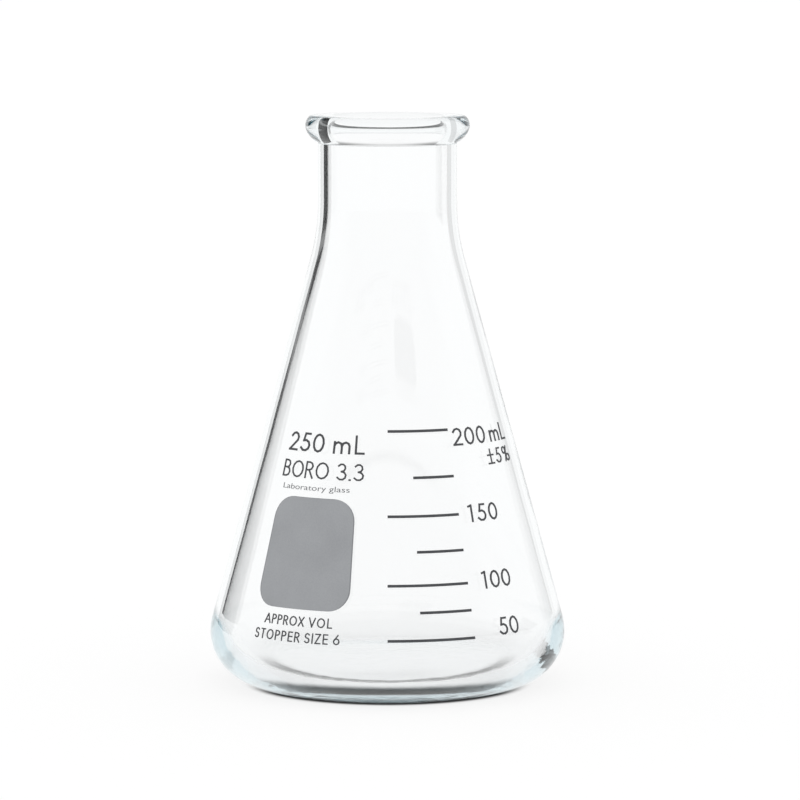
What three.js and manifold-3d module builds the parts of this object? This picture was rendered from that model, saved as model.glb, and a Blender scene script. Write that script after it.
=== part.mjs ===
// A 250 mL narrow-mouth Erlenmeyer flask of borosilicate glass with fired-on enamel marks.
// Millimetres, +Z up, origin at the centre of the foot. Azimuths start at -Y, the marked front,
// and grow towards +X.
import * as THREE from "three";
import { mergeVertices } from "three/addons/utils/BufferGeometryUtils.js";
import Module from "manifold-3d";

const wasm = await Module();
wasm.setup();
const rad = THREE.MathUtils.degToRad;

// The glass.
const bodyDiameter = 82;
const height = 131;
const neckDiameter = 31.9;
const neckLength = 19.5; // from the end of the shoulder's sweep to the top of the bead
const wall = 2.2;
const heelRadius = 12; // outside, between the foot and the cone
const innerHeelRadius = 9.8;
const shoulderRadius = 51.5; // the hollow sweep between the cone and the neck
const baseThickness = 3.8;
const pushUp = 1.2; // how far the middle of the base stands off the table
const footWidth = 3; // the flat ring that the flask stands on
const beadDiameter = 37.7;
const beadHeight = 6.3;
const beadCrown = 2.5; // from the top of the bead down to its widest place
const beadCorner = 1.6; // how far the rounded corner reaches in from the widest place
const mouthFlare = 1.3; // how far the lip opens out past the bore of the neck
const mouthFlareDepth = 2.4;
const turns = 64; // facets round the glass

// The enamel.
const enamelThickness = 0.12;
const enamelGap = 0.03; // keeps each fired mark just clear of the facets of the glass
const graduationWidth = 0.62;
const graduationEnd = rad(29);
const graduations = [
  { volume: 200, z: 61.35, start: 0 },
  { volume: 175, z: 51.15, start: 10.8 },
  { volume: 150, z: 42.75, start: 0 },
  { volume: 125, z: 34.95, start: 10.8 },
  { volume: 100, z: 27.7, start: 0 },
  { volume: 75, z: 21.8, start: 10.8 },
  { volume: 50, z: 15.8, start: 0 },
];
const spot = {
  left: rad(-49.7),
  right: rad(-12.8),
  bottom: 21.9,
  top: 46.3,
  corner: 5,
};

// Each line of lettering: the azimuth where it starts, the height of its baseline, or how far that
// lies below the graduation it belongs to, and its sizes along the slope of the cone.
const lettering = [
  {
    name: "capacity", text: "250 mL", start: -49.6, base: 56.2,
    cap: 4.36, stroke: 0.5, gap: 0.7, space: 2.3,
  },
  {
    name: "glass_type", text: "BORO 3.3", start: -50.2, base: 50.4,
    cap: 3.94, stroke: 0.4, gap: 0.5, space: 1.9,
  },
  {
    name: "volume_note", text: "APPROX VOL", start: -44.2, base: 18.2,
    cap: 2.25, stroke: 0.3, gap: 0.35, space: 1.1,
  },
  {
    name: "stopper_note", text: "STOPPER SIZE 6", start: -47.4, base: 14.7,
    cap: 2.35, stroke: 0.3, gap: 0.47, space: 1.2,
  },
  {
    name: "level_200", text: "200 mL", start: 31, beside: 200, drop: 3.65,
    cap: 4.1, stroke: 0.47, gap: 0.66, space: 1.7,
  },
  {
    name: "tolerance", text: "±5%", start: 49.4, beside: 200, drop: 8.5,
    cap: 3.6, stroke: 0.4, gap: 0.7,
  },
  {
    name: "level_150", text: "150", start: 33.2, beside: 150, drop: 1.95,
    cap: 4.05, stroke: 0.47, gap: 0.75,
  },
  {
    name: "level_100", text: "100", start: 34.8, beside: 100, drop: 1.6,
    cap: 4.05, stroke: 0.47, gap: 0.55,
  },
  {
    name: "level_50", text: "50", start: 38.8, beside: 50, drop: 0.1,
    cap: 4.05, stroke: 0.47, gap: 0.6,
  },
];

// Colours of the finished parts.
const glass = new THREE.MeshStandardMaterial({
  color: 0xe9f1ee,
  roughness: 0.03,
  metalness: 0,
  transparent: true,
  opacity: 0.35,
});
const darkEnamel = new THREE.MeshStandardMaterial({ color: 0x454547, roughness: 0.55, metalness: 0 });
const greyEnamel = new THREE.MeshStandardMaterial({ color: 0x97999c, roughness: 0.6, metalness: 0 });

// Sizes that follow from the ones above. The cone is the line that touches both the heel's circle
// and the shoulder's circle.
const neckRadius = neckDiameter / 2;
const boreRadius = neckRadius - wall;
const beadRadius = beadDiameter / 2;
const heelCentre = new THREE.Vector2(bodyDiameter / 2 - heelRadius, heelRadius);
const shoulderCentre = new THREE.Vector2(neckRadius + shoulderRadius, height - neckLength);
const betweenCentres = shoulderCentre.clone().sub(heelCentre);
const reach = (heelRadius + shoulderRadius) / betweenCentres.length();
const coneAngle = betweenCentres.angle() - Math.acos(reach);
const outward = new THREE.Vector2(Math.cos(coneAngle), Math.sin(coneAngle));
const coneFoot = heelCentre.clone().addScaledVector(outward, heelRadius);
const coneSlope = Math.tan(coneAngle);
const coneTop = shoulderCentre.clone().addScaledVector(outward, -shoulderRadius);
const coneRadius = (z) => coneFoot.x - (z - coneFoot.y) * coneSlope;
const innerConeRadius = (z) => coneRadius(z) - wall / outward.x;
const innerHeelCentre = new THREE.Vector2(0, baseThickness + innerHeelRadius);
innerHeelCentre.x = innerConeRadius(innerHeelCentre.y) - innerHeelRadius / outward.x;

// Points along an elliptical arc, angles in degrees.
function arc(x, y, rx, ry, from, to, steps = Math.ceil(Math.abs(to - from) / 40)) {
  const points = [];
  for (let i = 0; i <= steps; i++) {
    const a = rad(from + ((to - from) * i) / steps);
    points.push(new THREE.Vector2(x + rx * Math.cos(a), y + ry * Math.sin(a)));
  }
  return points;
}

// A shallow dome from the axis to a ring, level at the axis.
function dome(ringRadius, ringHeight, rise, steps) {
  const radius = (ringRadius ** 2 + rise ** 2) / (2 * rise);
  const half = THREE.MathUtils.radToDeg(Math.asin(ringRadius / radius));
  return arc(0, ringHeight + rise - radius, radius, radius, 90, 90 - half, steps);
}

// The outside from the foot to the neck, or a skin a little way off it whose facets lie parallel.
const tilt = THREE.MathUtils.radToDeg(coneAngle);
function outsideWall(off) {
  const heel = heelRadius + off;
  const shoulder = shoulderRadius - off;
  return [
    ...arc(heelCentre.x, heelCentre.y, heel, heel, -90, tilt, 7),
    ...arc(shoulderCentre.x, shoulderCentre.y, shoulder, shoulder, 180 + tilt, 180, 5),
  ];
}

// The radius of the outside at a height, from the heel to the neck.
function outsideRadius(z) {
  if (z < coneFoot.y) return heelCentre.x + Math.sqrt(heelRadius ** 2 - (z - heelCentre.y) ** 2);
  if (z < coneTop.y) return coneRadius(z);
  if (z > shoulderCentre.y) return neckRadius;
  return shoulderCentre.x - Math.sqrt(shoulderRadius ** 2 - (z - shoulderCentre.y) ** 2);
}

// The half section of the glass: up the outside, over the bead and down the inside.
function glassProfile() {
  const widest = new THREE.Vector2(beadRadius, height - beadCrown);
  const lipRadius = boreRadius + mouthFlare;
  const drop = beadHeight - beadCrown;
  const proud = beadRadius - neckRadius;
  const underBead = new THREE.CubicBezierCurve(
    new THREE.Vector2(neckRadius, height - beadHeight),
    new THREE.Vector2(neckRadius + 0.2 * proud, widest.y - 0.88 * drop),
    new THREE.Vector2(neckRadius + 0.92 * proud, widest.y - 0.6 * drop),
    widest,
  );
  const innerSweep = shoulderRadius + wall;
  return [
    ...dome(heelCentre.x - footWidth, 0, pushUp, 3),
    ...outsideWall(0),
    ...underBead.getPoints(5),
    ...arc(beadRadius - beadCorner, widest.y, beadCorner, beadCrown, 0, 90, 5).slice(1),
    ...arc(lipRadius, height - mouthFlareDepth, mouthFlare, mouthFlareDepth, 90, 180, 4),
    ...arc(shoulderCentre.x, shoulderCentre.y, innerSweep, innerSweep, 180, 180 + tilt, 5),
    ...arc(innerHeelCentre.x, innerHeelCentre.y, innerHeelRadius, innerHeelRadius, tilt, -90, 6),
    ...dome(innerHeelCentre.x, baseThickness, pushUp, 3).reverse().slice(1),
  ];
}

// A closed outline turned round the flask's axis.
function turned(outline) {
  return new THREE.LatheGeometry([...outline, outline[0]], turns).rotateX(Math.PI / 2);
}

// Between three.js geometry and manifold-3d solids.
function solid(geometry) {
  const bare = geometry.clone();
  bare.deleteAttribute("normal");
  bare.deleteAttribute("uv");
  const merged = mergeVertices(bare, 1e-4);
  return new wasm.Manifold(
    new wasm.Mesh({
      numProp: 3,
      vertProperties: merged.attributes.position.array,
      triVerts: new Uint32Array(merged.index.array),
    }),
  );
}
function geometryOf(body) {
  const mesh = body.getMesh();
  const geometry = new THREE.BufferGeometry();
  geometry.setAttribute("position", new THREE.BufferAttribute(mesh.vertProperties, 3));
  geometry.setIndex(new THREE.BufferAttribute(mesh.triVerts, 1));
  geometry.computeVertexNormals();
  return geometry;
}

// The film that every mark is cut from: a thin skin over the glass, from the heel to the neck.
function enamelFilm() {
  const near = outsideWall(enamelGap).slice(3);
  const far = outsideWall(enamelGap + enamelThickness).slice(3);
  return solid(turned([...near.reverse(), ...far]));
}

// The frame that touches the cone at an azimuth: x round the flask, y up the slope, z outward.
function tangentFrame(azimuth) {
  const x = new THREE.Vector3(Math.cos(azimuth), Math.sin(azimuth), 0);
  const z = new THREE.Vector3(Math.sin(azimuth) * outward.x, -Math.cos(azimuth) * outward.x, outward.y);
  const y = z.clone().cross(x);
  const foot = new THREE.Vector3(Math.sin(azimuth), -Math.cos(azimuth), 0);
  foot.multiplyScalar(coneRadius(0));
  return new THREE.Matrix4().makeBasis(x, y, z).setPosition(foot);
}

// A loop of (azimuth, height) points on the glass, seen square on in a tangent frame.
function flatten(loop, frame) {
  const toFrame = frame.clone().invert();
  return loop.map(({ x: azimuth, y: z }) => {
    const r = outsideRadius(z);
    const p = new THREE.Vector3(r * Math.sin(azimuth), -r * Math.cos(azimuth), z);
    p.applyMatrix4(toFrame);
    return new THREE.Vector2(p.x, p.y);
  });
}

// A mark in enamel: each area, an outline with or without a hole, is pushed through the film.
function fireOn(name, areas, azimuth, material) {
  const frame = tangentFrame(azimuth);
  const depth = 14;
  let mark = null;
  for (const { outline, hole } of areas) {
    const shape = new THREE.Shape(flatten(outline, frame));
    if (hole) shape.holes.push(new THREE.Path(flatten(hole, frame)));
    const punch = new THREE.ExtrudeGeometry(shape, { depth, bevelEnabled: false });
    const body = solid(punch.translate(0, 0, -depth / 2).applyMatrix4(frame));
    mark = mark ? mark.add(body) : body;
  }
  const mesh = new THREE.Mesh(geometryOf(mark.intersect(film)), material);
  mesh.name = name;
  return mesh;
}

// A graduation line: a level band of the film.
function graduation({ volume, z, start }) {
  const first = rad(start);
  const half = (graduationWidth * outward.x) / 2;
  const steps = 8;
  const along = (i) => THREE.MathUtils.lerp(first, graduationEnd, i / steps);
  const edge = (y) => Array.from({ length: steps + 1 }, (_, i) => new THREE.Vector2(along(i), y));
  const outline = [...edge(z - half), ...edge(z + half).reverse()];
  return fireOn("graduation_" + volume, [{ outline }], (first + graduationEnd) / 2, darkEnamel);
}

// The writing spot: a patch with rounded corners whose sides run straight up the cone.
function markingSpot() {
  const outline = [];
  const corners = [
    [spot.right, spot.bottom, -90],
    [spot.right, spot.top, 0],
    [spot.left, spot.top, 90],
    [spot.left, spot.bottom, 180],
  ];
  for (const [azimuth, z, from] of corners) {
    const round = spot.corner / outsideRadius(z);
    const rise = spot.corner * outward.x;
    const x = azimuth + (azimuth === spot.right ? -round : round);
    const y = z + (z === spot.top ? -rise : rise);
    outline.push(...arc(x, y, round, rise, from, from + 90, 6));
  }
  const edge = [];
  outline.forEach((p, i) => {
    const next = outline[(i + 1) % outline.length];
    const parts = Math.abs(next.x - p.x) > rad(5) ? 8 : 1;
    for (let k = 0; k < parts; k++) edge.push(p.clone().lerp(next, k / parts));
  });
  return fireOn("marking_spot", [{ outline: edge }], (spot.left + spot.right) / 2, greyEnamel);
}

// The alphabet. A letter is a width and strokes on a square one cap high, each a run of points.
const line = (...xy) =>
  xy.flatMap((x, i) => (i % 2 ? [] : [new THREE.Vector2(x, xy[i + 1])]));
const stem = (x, top = 1) => line(x, 0, x, top);
const alphabet = {
  0: { width: 0.67, strokes: [arc(0.335, 0.5, 0.335, 0.5, 0, 360, 12)] },
  1: { width: 0.37, strokes: [stem(0.22), line(0.02, 0.94, 0.22, 1)] },
  2: {
    width: 0.59,
    strokes: [[...arc(0.3, 0.71, 0.29, 0.29, 160, -28), ...line(0.03, 0.02)], line(0, 0, 0.59, 0)],
  },
  3: {
    width: 0.58,
    strokes: [arc(0.27, 0.76, 0.25, 0.24, 150, -90), arc(0.28, 0.26, 0.3, 0.26, 90, -150)],
  },
  5: {
    width: 0.6,
    strokes: [line(0.22, 1, 0.57, 1), line(0.22, 1, 0.14, 0.6), arc(0.28, 0.31, 0.32, 0.31, 118, -150)],
  },
  6: { width: 0.62, strokes: [arc(0.31, 0.31, 0.31, 0.31, 0, 360, 8), line(0.46, 1, 0.06, 0.43)] },
  A: { width: 0.8, strokes: [line(0, 0, 0.4, 1), line(0.4, 1, 0.8, 0), line(0.15, 0.33, 0.65, 0.33)] },
  B: {
    width: 0.54,
    strokes: [
      stem(0),
      [...line(0, 1), ...arc(0.24, 0.77, 0.24, 0.23, 90, -90, 4), ...line(0, 0.54)],
      [...line(0, 0.54), ...arc(0.27, 0.27, 0.27, 0.27, 90, -90, 4), ...line(0, 0)],
    ],
  },
  E: {
    width: 0.46,
    strokes: [stem(0), line(0, 1, 0.46, 1), line(0, 0.52, 0.44, 0.52), line(0, 0, 0.46, 0)],
  },
  I: { width: 0, strokes: [stem(0)] },
  L: { width: 0.54, strokes: [line(0.08, 1, 0.08, 0, 0.54, 0)] },
  O: { width: 0.86, strokes: [arc(0.43, 0.5, 0.43, 0.5, 0, 360, 12)] },
  P: {
    width: 0.5,
    strokes: [stem(0), [...line(0, 1), ...arc(0.24, 0.75, 0.26, 0.25, 90, -90, 4), ...line(0, 0.5)]],
  },
  R: {
    width: 0.54,
    strokes: [
      stem(0),
      [...line(0, 1), ...arc(0.24, 0.75, 0.26, 0.25, 90, -90, 4), ...line(0, 0.5)],
      line(0.24, 0.5, 0.54, 0),
    ],
  },
  S: {
    width: 0.52,
    strokes: [[...arc(0.27, 0.75, 0.24, 0.25, 30, 240), ...arc(0.25, 0.26, 0.26, 0.26, 60, -150)]],
  },
  T: { width: 0.52, strokes: [stem(0.26), line(0, 1, 0.52, 1)] },
  V: { width: 0.74, strokes: [line(0, 1, 0.37, 0), line(0.37, 0, 0.74, 1)] },
  X: { width: 0.64, strokes: [line(0, 1, 0.64, 0), line(0, 0, 0.64, 1)] },
  Z: { width: 0.56, strokes: [line(0, 1, 0.56, 1), line(0.56, 1, 0, 0), line(0, 0, 0.56, 0)] },
  m: {
    width: 0.94,
    strokes: [
      stem(0, 0.62),
      [...arc(0.235, 0.4, 0.235, 0.22, 180, 0, 4), ...line(0.47, 0)],
      [...arc(0.705, 0.4, 0.235, 0.22, 180, 0, 4), ...line(0.94, 0)],
    ],
  },
  ".": { label: "point", width: 0.04, strokes: [line(0, 0, 0.04, 0)] },
  "±": {
    label: "plus_minus",
    width: 0.62,
    strokes: [line(0, 0.6, 0.62, 0.6), stem(0.31), line(0, 0, 0.62, 0)],
  },
  "%": {
    label: "percent",
    width: 0.96,
    strokes: [
      line(0.3, 0, 0.66, 1),
      arc(0.24, 0.77, 0.24, 0.23, 0, 360, 8),
      arc(0.72, 0.23, 0.24, 0.23, 0, 360, 8),
    ],
  },
};

// A stroke of even width along a run of points, with square ends; a run that closes becomes a ring.
function strokeArea(run, width) {
  const closed = run[0].distanceTo(run.at(-1)) < 1e-6;
  const points = closed ? run.slice(0, -1) : run;
  const count = points.length;
  const side = (sign) =>
    points.map((p, i) => {
      const before = points[closed ? (i + count - 1) % count : Math.max(i - 1, 0)];
      const after = points[closed ? (i + 1) % count : Math.min(i + 1, count - 1)];
      const arriving = (i || closed ? p.clone().sub(before) : after.clone().sub(p)).normalize();
      const leaving = (i < count - 1 || closed ? after.clone().sub(p) : p.clone().sub(before)).normalize();
      const along = arriving.clone().add(leaving).normalize();
      const across = new THREE.Vector2(-along.y, along.x);
      across.multiplyScalar((sign * width) / 2 / along.dot(leaving));
      const end = closed ? 0 : i === 0 ? -width / 2 : i === count - 1 ? width / 2 : 0;
      return p.clone().add(across).addScaledVector(along, end);
    });
  if (closed) return { outline: side(-1), hole: side(1) };
  return { outline: [...side(-1), ...side(1).reverse()] };
}

// One line of lettering, spaced round the cone at the radius of its own middle.
function letters({ name, text, start, base, beside, drop, cap, stroke, gap, space }) {
  const meshes = [];
  const unit = cap - stroke;
  const foot = beside ? graduations.find(({ volume }) => volume === beside).z - drop : base;
  const radius = coneRadius(foot + (cap * outward.x) / 2);
  let pen = rad(start) * radius;
  for (const character of text) {
    if (character === " ") {
      pen += space - gap;
      continue;
    }
    const { width, strokes, label = character } = alphabet[character];
    const place = (p) =>
      new THREE.Vector2((pen + stroke / 2 + p.x) / radius, foot + (stroke / 2 + p.y) * outward.x);
    const areas = strokes.map((run) => {
      const { outline, hole } = strokeArea(run.map((p) => p.clone().multiplyScalar(unit)), stroke);
      return { outline: outline.map(place), hole: hole && hole.map(place) };
    });
    const middle = (pen + stroke / 2 + (width * unit) / 2) / radius;
    meshes.push(fireOn([name, meshes.length + 1, label].join("_"), areas, middle, darkEnamel));
    pen += stroke + width * unit + gap;
  }
  return meshes;
}

const film = enamelFilm();

const flask = new THREE.Mesh(turned(glassProfile()), glass);
flask.name = "flask_glass";

const marks = new THREE.Group();
for (const level of graduations) marks.add(graduation(level));
marks.add(markingSpot());
for (const row of lettering) marks.add(...letters(row));

const part = new THREE.Group();
part.add(flask, marks);
export default part;
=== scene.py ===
import math

import bpy
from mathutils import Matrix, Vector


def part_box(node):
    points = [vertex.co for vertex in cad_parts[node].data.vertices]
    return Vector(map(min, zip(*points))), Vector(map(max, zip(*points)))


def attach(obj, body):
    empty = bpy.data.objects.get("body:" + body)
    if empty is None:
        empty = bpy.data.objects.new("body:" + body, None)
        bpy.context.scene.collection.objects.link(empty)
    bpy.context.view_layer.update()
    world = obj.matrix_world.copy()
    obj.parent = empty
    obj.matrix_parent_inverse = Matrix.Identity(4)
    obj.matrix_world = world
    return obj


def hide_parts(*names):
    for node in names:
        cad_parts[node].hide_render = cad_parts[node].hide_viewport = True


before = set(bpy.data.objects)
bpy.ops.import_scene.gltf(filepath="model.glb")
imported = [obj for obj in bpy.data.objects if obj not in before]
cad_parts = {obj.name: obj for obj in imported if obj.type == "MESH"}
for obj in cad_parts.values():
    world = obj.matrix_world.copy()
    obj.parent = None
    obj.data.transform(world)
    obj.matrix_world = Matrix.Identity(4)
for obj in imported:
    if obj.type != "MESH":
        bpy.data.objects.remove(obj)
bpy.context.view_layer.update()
mm = 0.001
print("frame loaded")


def colour(hexCode, alpha=1.0):
    # sRGB hex to the linear values that the shaders use
    channels = [int(hexCode[i:i + 2], 16) / 255 for i in (1, 3, 5)]
    linear = [c / 12.92 if c <= 0.04045 else ((c + 0.055) / 1.055) ** 2.4 for c in channels]
    return (*linear, alpha)


def addNode(tree, kind, inputs, **settings):
    # an input is given by name or number, as a value or as (node, output)
    node = tree.nodes.new(kind)
    for name, value in settings.items():
        setattr(node, name, value)
    for name, value in inputs.items():
        if isinstance(value, tuple) and isinstance(value[0], bpy.types.Node):
            tree.links.new(value[0].outputs[value[1]], node.inputs[name])
        else:
            node.inputs[name].default_value = value
    return node


def emptyMaterial(name):
    material = bpy.data.materials.new(name)
    material.use_nodes = True
    material.node_tree.nodes.clear()
    return material, material.node_tree


def arcPoints(x, y, rx, ry, start, end, steps):
    # points along an elliptical arc, angles in degrees
    turn = [math.radians(start + (end - start) * i / steps) for i in range(steps + 1)]
    return [(x + rx * math.cos(a), y + ry * math.sin(a)) for a in turn]


def onlySelect(piece):
    bpy.ops.object.select_all(action="DESELECT")
    piece.select_set(True)
    bpy.context.view_layer.objects.active = piece


camera = {
    "distance": 1003,  # mm from the flask's axis, level
    "height": 177,  # mm above the table
    "lookDown": 6.35,  # degrees
    "lens": 197.05,
    "sideShift": 0.0156,
    "sensor": 36,  # mm
    "nearest": 0.05,  # m
    "farthest": 50,
}


def placeCamera():
    data = bpy.data.cameras.new("camera")
    data.lens = camera["lens"]
    data.sensor_width = camera["sensor"]
    data.shift_x = camera["sideShift"]
    data.clip_start = camera["nearest"]
    data.clip_end = camera["farthest"]
    eye = bpy.data.objects.new("camera", data)
    eye.location = (0, -camera["distance"] * mm, camera["height"] * mm)
    eye.rotation_euler = (math.radians(90 - camera["lookDown"]), 0, 0)
    bpy.context.scene.collection.objects.link(eye)
    bpy.context.scene.camera = eye


placeCamera()
print("camera placed")

studio = {
    "floorRadius": 8.0,  # m
    "floorSides": 96,
    "floorColour": "#F8F8F8",
    "floorGlow": 0.85,  # how much of the floor's white is its own; the rest takes the shadow
    "skyLight": 1.12,
    "roomWhite": 1.0,
    "roomFront": 0.8,  # what the glass sees behind the camera
    "frontStarts": -0.1,  # how far round towards the camera the white wall reaches
    "frontEnds": -0.5,
    "roomTop": 0.1,  # what the glass sees overhead
    "topStarts": 0.45,
    "topEnds": 0.6,
    # painted contact shadow on the floor: these darken the paper and cut its own glow round the foot, most in
    # front
    "paintedShadowInside": (26, 29),  # mm from the axis: painted contact shadow, a dark line on the paper where the foot meets it
    "paintedShadowOutside": (31.3, 34.2),
    "paintedShadowFront": (0, -20),  # mm: the painted shadow fades out behind the axis
    "paintedShadowDark": 0.97,
    "lightBounces": 64,
}
# stood beside the flask where only the glass sees them; degrees round from straight behind, and mm
cards = [
    # dark, with a grey band across
    {"name": "card_left", "from": -34, "to": -62, "distance": 700, "low": 2, "high": 420,
     "darkTo": 108, "greyFrom": 125, "greyTo": 140, "darkFrom": 155, "grey": 0.22},
    # grey all over, since its band is wider than the card
    {"name": "card_right", "from": 34, "to": 52, "distance": 900, "low": 2, "high": 420,
     "darkTo": -200, "greyFrom": -100, "greyTo": 900, "darkFrom": 1000, "grey": 0.75},
]


def lightWorld():
    # white all round; for the glass alone it falls off behind the camera and is dark overhead
    world = bpy.data.worlds.new("studio_world")
    bpy.context.scene.world = world
    world.use_nodes = True
    tree = world.node_tree
    tree.nodes.clear()
    path = addNode(tree, "ShaderNodeLightPath", {})
    where = addNode(tree, "ShaderNodeTexCoord", {})
    parts = addNode(tree, "ShaderNodeSeparateXYZ", {"Vector": (where, "Generated")})
    room = addNode(tree, "ShaderNodeMapRange",
                   {"Value": (parts, "Y"), "From Min": studio["frontStarts"], "From Max": studio["frontEnds"],
                    "To Min": studio["roomWhite"], "To Max": studio["roomFront"]},
                   interpolation_type="SMOOTHSTEP")
    top = addNode(tree, "ShaderNodeMapRange",
                  {"Value": (parts, "Z"), "From Min": studio["topStarts"], "From Max": studio["topEnds"],
                   "To Min": 1.0, "To Max": studio["roomTop"]},
                  interpolation_type="SMOOTHSTEP")
    seenRoom = addNode(tree, "ShaderNodeMath", {0: (room, 0), 1: (top, 0)}, operation="MULTIPLY")
    plain = addNode(tree, "ShaderNodeMix", {0: (path, "Is Camera Ray"), 2: studio["skyLight"], 3: 1.0},
                    data_type="FLOAT")
    glassSees = addNode(tree, "ShaderNodeMath", {0: (path, "Is Glossy Ray"), 1: (path, "Is Transmission Ray")},
                        operation="ADD", use_clamp=True)
    strength = addNode(tree, "ShaderNodeMix", {0: (glassSees, 0), 2: (plain, 0), 3: (seenRoom, 0)},
                       data_type="FLOAT")
    sky = addNode(tree, "ShaderNodeBackground", {"Color": (1, 1, 1, 1), "Strength": (strength, 0)})
    addNode(tree, "ShaderNodeOutputWorld", {"Surface": (sky, 0)})


def layFloor():
    bpy.ops.mesh.primitive_circle_add(vertices=studio["floorSides"], radius=studio["floorRadius"],
                                      fill_type="NGON")
    floor = bpy.context.object
    floor.name = "floor"
    material, tree = emptyMaterial("matt white paper with painted contact shadow")
    path = addNode(tree, "ShaderNodeLightPath", {})
    direct = addNode(tree, "ShaderNodeMath", {0: (path, "Is Camera Ray"), 1: (path, "Is Glossy Ray")},
                     operation="ADD")
    seen = addNode(tree, "ShaderNodeMath", {0: (direct, 0), 1: (path, "Is Transmission Ray")},
                   operation="ADD", use_clamp=True)
    where = addNode(tree, "ShaderNodeTexCoord", {})
    out = addNode(tree, "ShaderNodeVectorMath", {0: (where, "Object")}, operation="LENGTH")
    place = addNode(tree, "ShaderNodeSeparateXYZ", {"Vector": (where, "Object")})
    paintedShadow = studio["paintedShadowDark"]
    # painted contact shadow: the three steps are multiplied, dark outside the first, inside the second and in
    # front of the third
    for value, (start, end), rise in (((out, "Value"), studio["paintedShadowInside"], 1),
                                      ((out, "Value"), studio["paintedShadowOutside"], 0),
                                      ((place, "Y"), studio["paintedShadowFront"], 1)):
        step = addNode(tree, "ShaderNodeMapRange",
                       {"Value": value, "From Min": start * mm, "From Max": end * mm,
                        "To Min": 1 - rise, "To Max": rise}, interpolation_type="SMOOTHSTEP")
        last = addNode(tree, "ShaderNodeMath", {0: (step, 0), 1: paintedShadow}, operation="MULTIPLY")
        paintedShadow = (last, 0)
    # the painted shadow scales down both the paper's colour and its own glow
    lit = addNode(tree, "ShaderNodeMath", {0: 1.0, 1: paintedShadow}, operation="SUBTRACT")
    own = addNode(tree, "ShaderNodeMath", {0: (lit, 0), 1: studio["floorGlow"]}, operation="MULTIPLY")
    share = addNode(tree, "ShaderNodeMath", {0: (seen, 0), 1: (own, 0)}, operation="MULTIPLY")
    tone = addNode(tree, "ShaderNodeVectorMath", {0: colour(studio["floorColour"])[:3], "Scale": (lit, 0)},
                   operation="SCALE")
    paper = addNode(tree, "ShaderNodeBsdfDiffuse", {"Color": (tone, 0)})
    glow = addNode(tree, "ShaderNodeEmission", {"Color": (1, 1, 1, 1), "Strength": 1.0})
    both = addNode(tree, "ShaderNodeMixShader", {0: (share, 0), 1: (paper, 0), 2: (glow, 0)})
    addNode(tree, "ShaderNodeOutputMaterial", {"Surface": (both, 0)})
    floor.data.materials.append(material)


def standCards():
    for card in cards:
        material, tree = emptyMaterial("matt " + card["name"])
        where = addNode(tree, "ShaderNodeTexCoord", {})
        parts = addNode(tree, "ShaderNodeSeparateXYZ", {"Vector": (where, "Object")})
        band = [addNode(tree, "ShaderNodeMapRange",
                        {"Value": (parts, "Z"), "From Min": card[dark] * mm, "From Max": card[grey] * mm,
                         "To Min": 0.0, "To Max": full}, interpolation_type="SMOOTHSTEP")
                for dark, grey, full in (("darkTo", "greyFrom", card["grey"]), ("darkFrom", "greyTo", 1.0))]
        fade = addNode(tree, "ShaderNodeMath", {0: (band[0], 0), 1: (band[1], 0)}, operation="MULTIPLY")
        glow = addNode(tree, "ShaderNodeEmission", {"Color": (1, 1, 1, 1), "Strength": (fade, 0)})
        addNode(tree, "ShaderNodeOutputMaterial", {"Surface": (glow, 0)})
        bpy.ops.mesh.primitive_plane_add(size=1)
        sheet = bpy.context.object
        sheet.name = card["name"]
        reach = card["distance"] * mm
        turns = [math.radians(card[end]) for end in ("from", "to")]
        corners = [(reach * math.sin(a), reach * math.cos(a), card[z] * mm)
                   for z in ("low", "high") for a in turns]
        for vertex, place in zip(sheet.data.vertices, corners):
            vertex.co = place
        sheet.data.materials.append(material)
        sheet.visible_camera = False
        sheet.visible_diffuse = False
        sheet.visible_shadow = False


def deepenLight():
    # a glass wall passes light along itself many times before it lets it out
    light = bpy.context.scene.cycles
    light.max_bounces = studio["lightBounces"]
    light.glossy_bounces = studio["lightBounces"]
    light.transmission_bounces = studio["lightBounces"]


lightWorld()
layFloor()
standCards()
deepenLight()
bpy.context.scene.view_settings.view_transform = "Standard"
print("studio lit")

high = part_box("flask_glass")[1]
flask = {  # mm
    "radius": high.x / mm,
    "height": high.z / mm,
    "neckRadius": 15.95,
    "neckLength": 19.5,  # from the end of the shoulder's sweep to the top
    "wall": 2.2,
    "heel": 12.0,
    "innerHeel": 9.8,
    "shoulder": 51.5,
    "base": 3.8,
    "pushUp": 1.2,
    "foot": 3.0,
    "beadRadius": 18.85,
    "beadHeight": 6.3,
    "beadCrown": 2.5,
    "beadCorner": 1.6,
    "beadHandles": ((0.2, 0.88), (0.92, 0.6)),  # of the curve under it: shares of its width and its drop
    "flare": 1.3,
    "flareDepth": 2.4,
    "sides": 192,
    "domeRings": 10,
    "heelRings": 30,
    "shoulderRings": 18,
    "beadRings": 18,
    "lipRings": 14,
    "innerHeelRings": 26,
    "straightRings": 4,
    "weld": 0.001,
    "tint": "#70BCCC",
    "tintDensity": 6.0,
    "rippleSize": 7.0,  # of the faint waves that blowing leaves in the thick base
    "rippleDepth": 0.05,
    "rippleFlatter": 2.2,  # the waves lie along the base
    "rippleFrom": 16.0,  # height where they begin, downwards
    "rippleFull": 5.0,
    "bend": 1.473,  # refractive index of borosilicate glass
}


def shapeCone():
    # the cone is the line that touches both the heel's circle and the shoulder's circle
    f = flask
    f["heelX"] = f["radius"] - f["heel"]
    f["shoulderX"] = f["neckRadius"] + f["shoulder"]
    f["shoulderZ"] = f["height"] - f["neckLength"]
    across, up = f["shoulderX"] - f["heelX"], f["shoulderZ"] - f["heel"]
    f["tilt"] = math.atan2(up, across) - math.acos((f["heel"] + f["shoulder"]) / math.hypot(across, up))
    f["coneX"] = f["heelX"] + f["heel"] * math.cos(f["tilt"])
    f["coneZ"] = f["heel"] + f["heel"] * math.sin(f["tilt"])


shapeCone()


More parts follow.
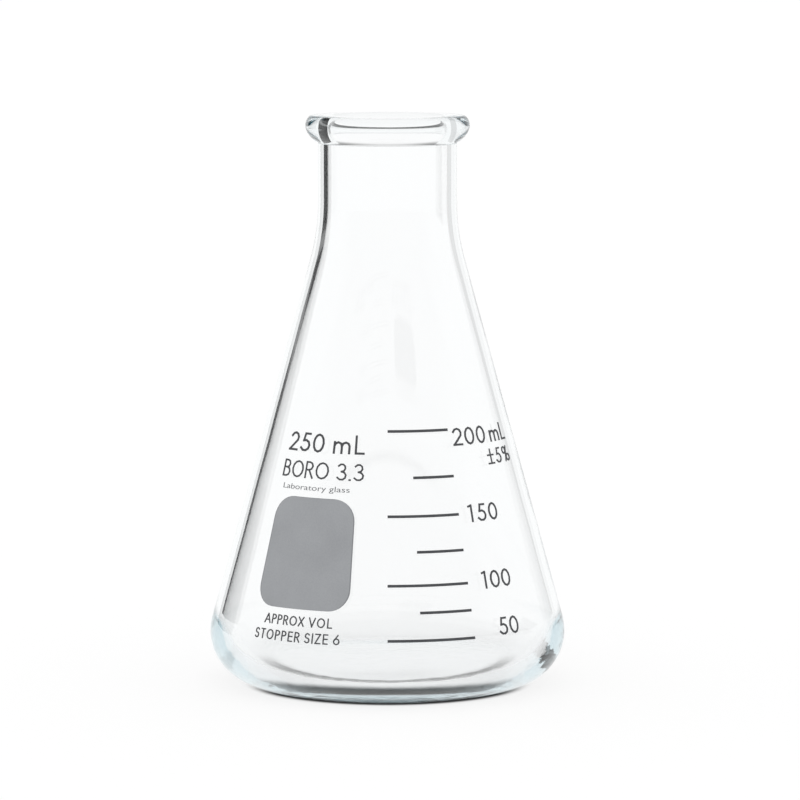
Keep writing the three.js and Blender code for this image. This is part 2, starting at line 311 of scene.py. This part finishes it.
def outerRadius(z):
    # of the glass where the marks are, on the heel and the cone
    f = flask
    if z < f["coneZ"]:
        return f["heelX"] + math.sqrt(f["heel"] ** 2 - (z - f["heel"]) ** 2)
    return f["coneX"] - (z - f["coneZ"]) * math.tan(f["tilt"])


def domePoints(ringRadius, ringZ, rise, steps):
    radius = (ringRadius ** 2 + rise ** 2) / (2 * rise)
    half = math.degrees(math.asin(ringRadius / radius))
    return arcPoints(0, ringZ + rise - radius, radius, radius, 90, 90 - half, steps)[1:]


def linePoints(a, b, steps):
    # the ends are left to the neighbours; close rings near them keep the shading of each to itself
    shares = [0.01, 0.04, *(i / steps for i in range(1, steps)), 0.96, 0.99]
    return [(a[0] + (b[0] - a[0]) * s, a[1] + (b[1] - a[1]) * s) for s in shares]


def bezierPoints(a, b, c, d, steps):
    points = []
    for t in [i / steps for i in range(steps + 1)]:
        weights = ((1 - t) ** 3, 3 * t * (1 - t) ** 2, 3 * t * t * (1 - t), t ** 3)
        points.append(tuple(sum(w * p[axis] for w, p in zip(weights, (a, b, c, d))) for axis in (0, 1)))
    return points


def glassProfile():
    # (radius, height) up the outside, over the bead and down the inside
    f = flask
    tilt = math.degrees(f["tilt"])
    neck, bead, top = f["neckRadius"], f["beadRadius"], f["height"]
    widestZ = top - f["beadCrown"]
    drop, proud = f["beadHeight"] - f["beadCrown"], bead - neck
    lip = neck - f["wall"] + f["flare"]
    innerHeelZ = f["base"] + f["innerHeel"]
    innerCone = f["coneX"] - (innerHeelZ - f["coneZ"]) * math.tan(f["tilt"]) - f["wall"] / math.cos(f["tilt"])
    innerHeelX = innerCone - f["innerHeel"] / math.cos(f["tilt"])
    sweep = f["shoulder"] + f["wall"]
    handles = [(neck + out * proud, widestZ - down * drop) for out, down in f["beadHandles"]]
    runs = [
        domePoints(f["heelX"] - f["foot"], 0, f["pushUp"], f["domeRings"]),
        arcPoints(f["heelX"], f["heel"], f["heel"], f["heel"], -90, tilt, f["heelRings"]),
        arcPoints(f["shoulderX"], f["shoulderZ"], f["shoulder"], f["shoulder"], 180 + tilt, 180,
                  f["shoulderRings"]),
        bezierPoints((neck, top - f["beadHeight"]), *handles, (bead, widestZ), f["beadRings"])
        + arcPoints(bead - f["beadCorner"], widestZ, f["beadCorner"], f["beadCrown"], 0, 90,
                    f["lipRings"])[1:],
        arcPoints(lip, top - f["flareDepth"], f["flare"], f["flareDepth"], 90, 180, f["lipRings"]),
        arcPoints(f["shoulderX"], f["shoulderZ"], sweep, sweep, 180, 180 + tilt, f["shoulderRings"]),
        arcPoints(innerHeelX, innerHeelZ, f["innerHeel"], f["innerHeel"], tilt, -90, f["innerHeelRings"]),
        domePoints(innerHeelX, f["base"], f["pushUp"], f["domeRings"])[::-1],
    ]
    profile = runs[0]
    for run in runs[1:]:
        profile += linePoints(profile[-1], run[0], f["straightRings"]) + run
    return profile


def borosilicateGlass():
    # blown in a mould and fire polished: clear, faintly blue-green where it is thick, rippled in the base
    material, tree = emptyMaterial("borosilicate glass blown and fire polished")
    where = addNode(tree, "ShaderNodeTexCoord", {})
    stretched = addNode(tree, "ShaderNodeMapping",
                        {"Vector": (where, "Object"), "Scale": (1, 1, flask["rippleFlatter"])})
    ripple = addNode(tree, "ShaderNodeTexNoise",
                     {"Vector": (stretched, 0), "Scale": 1 / (flask["rippleSize"] * mm), "Detail": 2.0})
    parts = addNode(tree, "ShaderNodeSeparateXYZ", {"Vector": (where, "Object")})
    nearBase = addNode(tree, "ShaderNodeMapRange",
                       {"Value": (parts, "Z"), "From Min": flask["rippleFrom"] * mm,
                        "From Max": flask["rippleFull"] * mm, "To Min": 0.0, "To Max": 1.0})
    wavy = addNode(tree, "ShaderNodeBump",
                   {"Height": (ripple, 0), "Strength": (nearBase, 0), "Distance": flask["rippleDepth"] * mm})
    clear = addNode(tree, "ShaderNodeBsdfPrincipled",
                    {"Base Color": (1, 1, 1, 1), "Roughness": 0.0, "IOR": flask["bend"],
                     "Transmission Weight": 1.0, "Normal": (wavy, 0)})
    tint = addNode(tree, "ShaderNodeVolumeAbsorption",
                   {"Color": colour(flask["tint"]), "Density": flask["tintDensity"]})
    addNode(tree, "ShaderNodeOutputMaterial", {"Surface": (clear, 0), "Volume": (tint, 0)})
    return material


def blowFlask():
    # the first ring lies round the middle of the underside; each later one is drawn out of the last
    profile = glassProfile()
    r, z = profile[0]
    bpy.ops.object.select_all(action="DESELECT")
    bpy.ops.mesh.primitive_circle_add(vertices=flask["sides"], radius=r * mm, location=(0, 0, z * mm),
                                      fill_type="TRIFAN")
    body = bpy.context.object
    body.name = "flask_body"
    bpy.ops.object.transform_apply(location=True)
    bpy.ops.object.mode_set(mode="EDIT")
    bpy.ops.mesh.select_all(action="SELECT")
    bpy.ops.mesh.region_to_loop()
    for nextR, nextZ in profile[1:]:
        bpy.ops.mesh.extrude_edges_move(TRANSFORM_OT_translate={"value": (0, 0, (nextZ - z) * mm)})
        grow = nextR / r
        bpy.ops.transform.resize(value=(grow, grow, 1), center_override=(0, 0, nextZ * mm))
        r, z = nextR, nextZ
    bpy.ops.mesh.edge_face_add()
    bpy.ops.mesh.poke()
    bpy.ops.mesh.select_all(action="SELECT")
    bpy.ops.mesh.remove_doubles(threshold=flask["weld"] * mm)
    bpy.ops.mesh.normals_make_consistent(inside=False)
    bpy.ops.object.mode_set(mode="OBJECT")
    bpy.ops.object.shade_smooth()
    body.data.materials.append(borosilicateGlass())
    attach(body, "root")
    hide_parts("flask_glass")
    return body


body = blowFlask()
print("flask blown:", len(body.data.polygons), "faces")

enamel = {  # mm and degrees
    "lift": 0.012,  # off the glass
    "thickness": 0.07,
    "step": 1.5,  # between the columns of a mark
    "speck": 0.35,  # size of the frit's grains
    "cloud": 9.0,  # size of the slow changes in tone
    "tooth": 0.01,  # how far the grains stand up
    "weld": 0.0005,
    "crease": 40.0,  # edges sharper than this stay sharp
    "marks": "#47484B",
    "spot": "#96989B",
    "spotEdge": "#7F8184",
}


def firedEnamel(name, base, coverage=1.0):
    # glass frit and pigment screened on and fired: even, matt, slightly speckled and toothed
    material, tree = emptyMaterial(name)
    where = addNode(tree, "ShaderNodeTexCoord", {})
    speck = addNode(tree, "ShaderNodeTexNoise",
                    {"Vector": (where, "Object"), "Scale": 1 / (enamel["speck"] * mm), "Detail": 3.0})
    cloud = addNode(tree, "ShaderNodeTexNoise", {"Vector": (where, "Object"), "Scale": 1 / (enamel["cloud"] * mm)})
    both = addNode(tree, "ShaderNodeMath", {0: (speck, 0), 1: (cloud, 0)}, operation="ADD")
    shade = addNode(tree, "ShaderNodeMapRange",
                    {"Value": (both, 0), "From Min": 0.7, "From Max": 1.3, "To Min": 0.93, "To Max": 1.05})
    tone = addNode(tree, "ShaderNodeVectorMath", {0: colour(base)[:3], "Scale": (shade, 0)}, operation="SCALE")
    tooth = addNode(tree, "ShaderNodeBump",
                    {"Height": (speck, 0), "Strength": 0.25, "Distance": enamel["tooth"] * mm})
    matt = addNode(tree, "ShaderNodeMapRange",
                   {"Value": (speck, 0), "From Min": 0.3, "From Max": 0.7, "To Min": 0.5, "To Max": 0.62})
    fired = addNode(tree, "ShaderNodeBsdfPrincipled",
                    {"Base Color": (tone, 0), "Roughness": (matt, 0), "Normal": (tooth, 0),
                     "Specular IOR Level": 0.3, "Alpha": coverage})
    addNode(tree, "ShaderNodeOutputMaterial", {"Surface": (fired, 0)})
    return material


markEnamel = firedEnamel("dark grey enamel screened and fired", enamel["marks"])
spotEnamel = firedEnamel("pale grey enamel screened and fired", enamel["spot"])
edgeEnamel = firedEnamel("pale grey enamel drawn thick at its edge", enamel["spotEdge"])


def onGlass(azimuth, z, lift):
    # azimuths in degrees from the marked front
    a = math.radians(azimuth)
    r = outerRadius(z) + lift / math.cos(flask["tilt"])
    return (r * math.sin(a) * mm, -r * math.cos(a) * mm, z * mm)


def thicken(piece, thickness):
    onlySelect(piece)
    bpy.ops.object.mode_set(mode="EDIT")
    bpy.ops.mesh.select_all(action="SELECT")
    bpy.ops.mesh.remove_doubles(threshold=enamel["weld"] * mm)
    bpy.ops.mesh.normals_make_consistent(inside=False)
    bpy.ops.object.mode_set(mode="OBJECT")
    film = piece.modifiers.new("film", "SOLIDIFY")
    film.thickness = thickness * mm
    film.offset = 1
    bpy.ops.object.modifier_apply(modifier="film")


def screenPatch(name, rows, edge=None):
    # rows of (height, left, right); a grid laid on the glass with its outline on those rows
    widest = max(right - left for z, left, right in rows)
    count = max(2, round(widest / enamel["step"]))
    shares = [i / count for i in range(count + 1)]
    if edge:
        inset = math.degrees(edge / outerRadius(rows[0][0])) / widest
        shares = [0, inset, *shares[1:-1], 1 - inset, 1]
    bpy.ops.object.select_all(action="DESELECT")
    bpy.ops.mesh.primitive_grid_add(x_subdivisions=len(shares) - 1, y_subdivisions=len(rows) - 1, size=1)
    patch = bpy.context.object
    patch.name = name
    places = [onGlass(left + (right - left) * s, z, enamel["lift"]) for z, left, right in rows for s in shares]
    for vertex, place in zip(patch.data.vertices, places):
        vertex.co = place
    return patch, len(shares) - 1


def finishMark(piece, nodeName):
    onlySelect(piece)
    bpy.ops.object.shade_smooth_by_angle(angle=math.radians(enamel["crease"]))
    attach(piece, "root")
    if nodeName:
        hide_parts(nodeName)


graduation = {"half": 0.3, "end": 29.0}  # mm and degrees
# the azimuth where each line starts
graduations = {"200": 0.0, "175": 10.8, "150": 0.0, "125": 10.8, "100": 0.0, "75": 10.8, "50": 0.0}


def screenGraduations():
    for volume, start in graduations.items():
        node = "graduation_" + volume
        low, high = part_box(node)
        z = (low.z + high.z) / 2 / mm
        rows = [(z + part * graduation["half"], start, graduation["end"]) for part in (-1, 0, 1)]
        line = screenPatch("line_" + volume, rows)[0]
        line.data.materials.append(markEnamel)
        thicken(line, enamel["thickness"])
        finishMark(line, node)


spot = {  # mm and degrees
    "left": -49.7,
    "right": -12.8,
    "bottom": 21.9,
    "top": 46.3,
    "corner": 5.0,
    "cornerRows": 8,
    "middleRows": 8,
    "edge": 0.28,
}


def screenSpot():
    s = spot
    rise = s["corner"] * math.cos(flask["tilt"])
    turns = [math.radians(90 * i / s["cornerRows"]) for i in range(s["cornerRows"] + 1)]
    corner = [(math.sin(a), 1 - math.cos(a)) for a in turns]
    rows = []
    for up, inward in corner[::-1]:
        rows.append((s["bottom"] + rise * (1 - up), inward))
    for i in range(1, s["middleRows"]):
        rows.append((s["bottom"] + rise + (s["top"] - s["bottom"] - 2 * rise) * i / s["middleRows"], 0))
    for up, inward in corner:
        rows.append((s["top"] - rise * (1 - up), inward))
    laid = []
    for z, inward in rows:
        shrink = math.degrees(s["corner"] * inward / outerRadius(z))
        laid.append((z, s["left"] + shrink, s["right"] - shrink))
    patch, columns = screenPatch("writing_spot", laid, s["edge"])
    patch.data.materials.append(spotEnamel)
    patch.data.materials.append(edgeEnamel)
    last = len(laid) - 2
    for face in patch.data.polygons:
        row, column = divmod(face.index, columns)
        if column in (0, columns - 1) or row in (0, last):
            face.material_index = 1
    thicken(patch, enamel["thickness"])
    finishMark(patch, "marking_spot")


fineLine = {  # mm and degrees
    "text": "Laboratory glass",
    "start": -48.6,
    "end": -15.6,
    "base": 47.85,
    "size": 1.72,
    "thickness": 0.03,
    "colour": "#6E7073",
    "coverage": 0.8,
}
faintEnamel = firedEnamel("dark grey enamel screened thin", fineLine["colour"], fineLine["coverage"])


def screenFineLine():
    # set flat first, then laid round the glass
    bpy.ops.object.select_all(action="DESELECT")
    bpy.ops.object.text_add()
    line = bpy.context.object
    line.name = "fine_line"
    line.data.body = fineLine["text"]
    line.data.size = fineLine["size"] * mm
    bpy.ops.object.convert(target="MESH")
    line = bpy.context.object
    width = max(v.co.x for v in line.data.vertices)
    for vertex in line.data.vertices:
        azimuth = fineLine["start"] + (fineLine["end"] - fineLine["start"]) * vertex.co.x / width
        vertex.co = onGlass(azimuth, fineLine["base"] + vertex.co.y / mm, enamel["lift"])
    line.data.materials.append(faintEnamel)
    thicken(line, fineLine["thickness"])
    finishMark(line, None)


def fireLetters():
    # the figures and letters keep their own outlines
    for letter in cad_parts.values():
        if not letter.hide_render:
            letter.data.materials.clear()
            letter.data.materials.append(markEnamel)


screenGraduations()
screenSpot()
screenFineLine()
fireLetters()
print("enamel fired")
